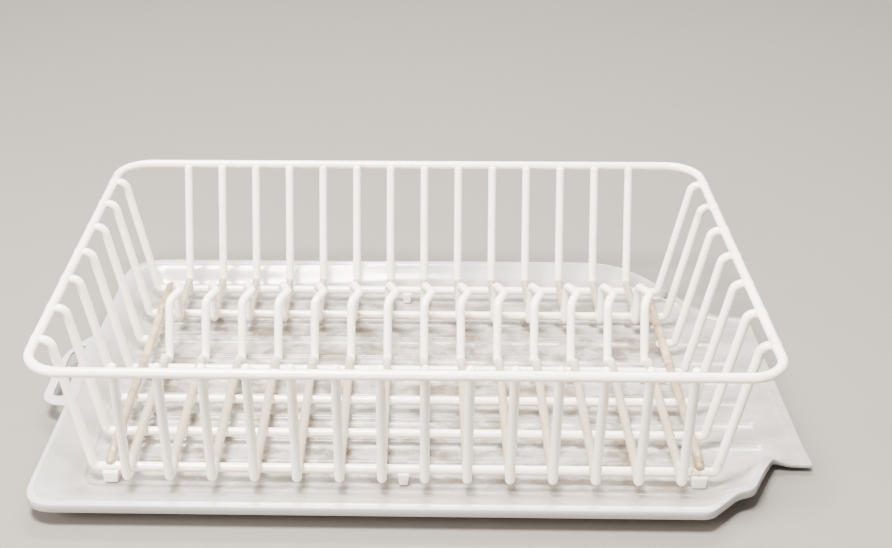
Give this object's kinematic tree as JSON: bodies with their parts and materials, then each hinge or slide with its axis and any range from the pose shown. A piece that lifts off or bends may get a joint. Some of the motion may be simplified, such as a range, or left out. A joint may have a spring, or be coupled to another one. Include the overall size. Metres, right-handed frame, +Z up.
{
  "type": "dish drying rack",
  "caption": "Low rectangular dish rack of coated steel wire with a row of upright plate humps, standing on a moulded drip tray with a drain spout and a hang tab.",
  "frame": {"origin": "on the surface that the tray stands on, below the middle of the object's bounding box", "axes": "+X along the rack towards the tray's spout, +Y to the back, +Z up"},
  "size_m": [0.49, 0.311, 0.1031],
  "materials": {
    "coated_wire": "glossy off-white PVC coating over steel wire, slightly yellowed",
    "stained_wire": "off-white PVC coating with tan water stains",
    "foot_plastic": "satin off-white moulded plastic",
    "tray_plastic": "glossy cool-white moulded plastic, faintly scummed"
  },
  "bodies": {
    "tray": {"drip_tray": "tray_plastic"},
    "rack": {"rim_wire": "coated_wire", "cross_wire_01": "coated_wire", "cross_wire_02": "coated_wire", "cross_wire_03": "coated_wire", "cross_wire_04": "coated_wire", "cross_wire_05": "coated_wire", "cross_wire_06": "coated_wire", "cross_wire_07": "coated_wire", "cross_wire_08": "coated_wire", "cross_wire_09": "coated_wire", "cross_wire_10": "coated_wire", "cross_wire_11": "coated_wire", "cross_wire_12": "coated_wire", "cross_wire_13": "coated_wire", "cross_wire_14": "coated_wire", "long_wire_1": "coated_wire", "long_wire_2": "coated_wire", "long_wire_4": "coated_wire", "long_wire_5": "coated_wire", "long_wire_6": "coated_wire", "long_wire_7": "coated_wire", "side_wire_3_left": "coated_wire", "side_wire_3_right": "coated_wire", "end_bar_left": "stained_wire", "end_bar_right": "stained_wire", "foot_front_left": "foot_plastic", "foot_front_centre": "foot_plastic", "foot_front_right": "foot_plastic", "foot_back_left": "foot_plastic", "foot_back_centre": "foot_plastic", "foot_back_right": "foot_plastic"}
  },
  "joints": [
    {"name": "rack_lift", "type": "slide", "parent": "tray", "child": "rack", "axis": [0, 0, 1], "range_m": [0, 0.12]}
  ]
}
